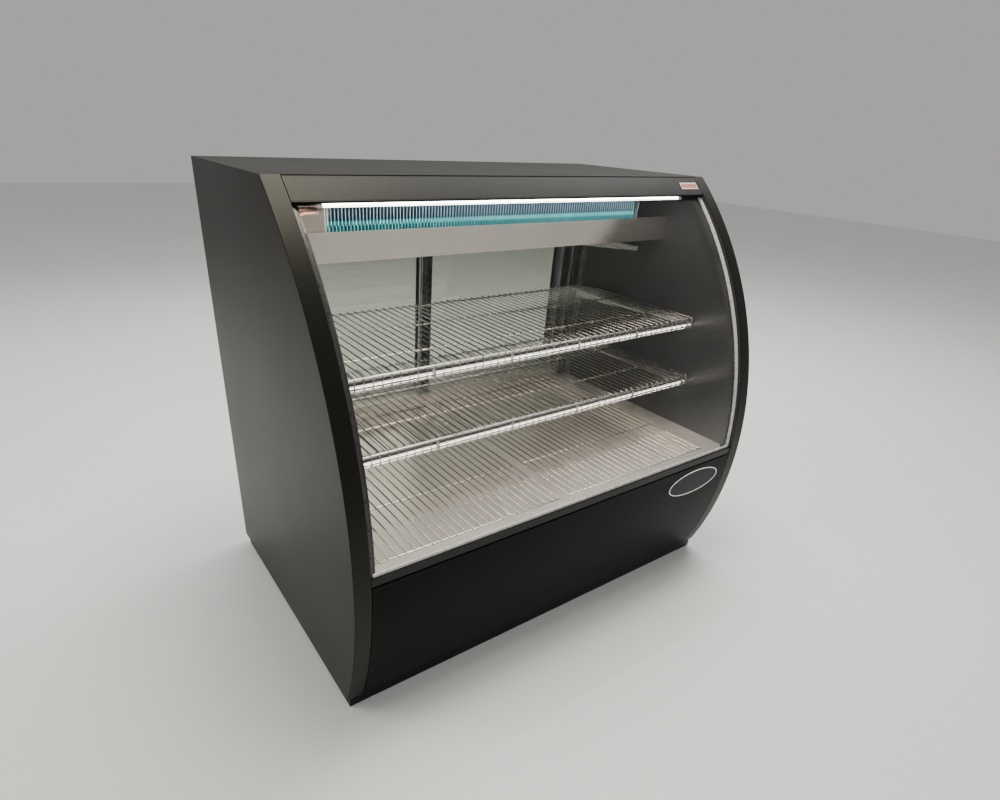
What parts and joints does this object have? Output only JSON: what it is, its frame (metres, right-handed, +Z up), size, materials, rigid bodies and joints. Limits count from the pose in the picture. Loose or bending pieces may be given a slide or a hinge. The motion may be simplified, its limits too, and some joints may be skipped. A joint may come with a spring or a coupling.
{
  "type": "refrigerated deli case",
  "caption": "Refrigerated deli display case with a bowed front, tilt-out curved glass, wire shelves, gravity coil and sliding rear doors.",
  "frame": {"origin": "on the floor, under the middle of the case", "axes": "+Z up, -Y towards the customer (the bowed glass front), +X to the customer's right"},
  "size_m": [1.448, 0.948, 1.283],
  "materials": {
    "black_powder_coat": "textured satin",
    "black_sheet": "satin",
    "dark_liner": "semi-gloss",
    "stainless": "brushed",
    "galvanised": "matt",
    "aluminium": "satin anodised",
    "fins": "blue coated",
    "copper": "bare",
    "chrome_wire": "bright",
    "glass": "clear",
    "rubber": "matt",
    "foam": "open cut",
    "white_plastic": "satin",
    "light_lens": "diffusing",
    "nylon": "smooth",
    "black_plastic": "fine texture",
    "black_enamel": "gloss",
    "badge": "gloss",
    "zinc": "plated",
    "pvc": "smooth"
  },
  "bodies": {
    "case": {"base_frame": "galvanised", "toe_kick": "black_powder_coat", "levelling_feet": "zinc", "left_end_skin": "black_powder_coat", "right_end_skin": "black_powder_coat", "panel_foam_cores": "foam", "end_panel_liners": "dark_liner", "glass_hinge_bushes": "nylon", "top_panel": "black_powder_coat", "ceiling_liner": "dark_liner", "header_fascia": "black_powder_coat", "lower_front_panel": "black_powder_coat", "badge_plate": "badge", "glass_gaskets": "rubber", "tank_liner": "stainless", "tank_insulation": "foam", "drain_fitting": "pvc", "condensate_pan": "galvanised", "header_light_housing": "white_plastic", "header_light_lens": "light_lens", "evaporator_fins": "fins", "evaporator_end_plates": "galvanised", "evaporator_tubes": "copper", "drip_pan": "stainless", "rear_jambs": "stainless", "jamb_seals": "rubber", "rear_sill": "stainless", "rear_head": "black_sheet", "pilasters": "stainless", "shelf_brackets": "stainless", "compressor": "black_enamel", "condenser_coil": "aluminium", "condenser_shroud": "galvanised", "fan_motor": "black_enamel", "suction_line": "rubber", "refrigerant_lines": "copper", "electrical_box": "white_plastic", "rear_access_panel": "galvanised", "panel_screws": "zinc", "cord_gland": "black_plastic", "control_panel": "black_plastic"},
    "front_glass": {"front_glass": "glass", "glass_edge_trim": "aluminium", "glass_hinge_rail": "black_sheet", "glass_hinge_pins": "zinc"},
    "left_door": {"left_door_frame": "aluminium", "left_door_glass": "glass"},
    "right_door": {"right_door_frame": "aluminium", "right_door_glass": "glass"},
    "fan": {"fan_blade": "black_plastic"},
    "power_switch": {"power_switch": "black_plastic"},
    "light_switch": {"light_switch": "black_plastic"},
    "button_up": {"button_up": "white_plastic"},
    "button_down": {"button_down": "white_plastic"},
    "upper_shelf": {"upper_wire_shelf": "chrome_wire", "upper_shelf_light": "light_lens"},
    "lower_shelf": {"lower_wire_shelf": "chrome_wire", "lower_shelf_light": "light_lens"},
    "left_rack": {"left_deck_rack": "chrome_wire"},
    "right_rack": {"right_deck_rack": "chrome_wire"}
  },
  "joints": [
    {"name": "front_glass_tilt", "type": "hinge", "parent": "case", "child": "front_glass", "pos_m": [0, -0.46077, 0.457], "axis": [1, 0, 0], "range_deg": [0, 40]},
    {"name": "left_door_slide", "type": "slide", "parent": "case", "child": "left_door", "axis": [1, 0, 0], "range_m": [0, 0.6]},
    {"name": "right_door_slide", "type": "slide", "parent": "case", "child": "right_door", "axis": [-1, 0, 0], "range_m": [0, 0.6]},
    {"name": "fan_spin", "type": "hinge", "parent": "case", "child": "fan", "pos_m": [-0.43, 0.375, 0.215], "axis": [0, 1, 0], "continuous": true},
    {"name": "power_rocker", "type": "hinge", "parent": "case", "child": "power_switch", "pos_m": [0.542, 0.461, 0.33], "axis": [1, 0, 0], "range_deg": [-18, 0]},
    {"name": "light_rocker", "type": "hinge", "parent": "case", "child": "light_switch", "pos_m": [0.572, 0.461, 0.33], "axis": [1, 0, 0], "range_deg": [-18, 0]},
    {"name": "button_up_press", "type": "slide", "parent": "case", "child": "button_up", "axis": [0, -1, 0], "range_m": [0, 0.0015], "stiffness_N_per_m": 600, "springref_m": -0.001},
    {"name": "button_down_press", "type": "slide", "parent": "case", "child": "button_down", "axis": [0, -1, 0], "range_m": [0, 0.0015], "stiffness_N_per_m": 600, "springref_m": -0.001},
    {"name": "upper_shelf_lift", "type": "slide", "parent": "case", "child": "upper_shelf", "axis": [0, 0, 1], "range_m": [0, 0.08]},
    {"name": "lower_shelf_lift", "type": "slide", "parent": "case", "child": "lower_shelf", "axis": [0, 0, 1], "range_m": [0, 0.08]},
    {"name": "left_rack_lift", "type": "slide", "parent": "case", "child": "left_rack", "axis": [0, 0, 1], "range_m": [0, 0.1]},
    {"name": "right_rack_lift", "type": "slide", "parent": "case", "child": "right_rack", "axis": [0, 0, 1], "range_m": [0, 0.1]}
  ]
}
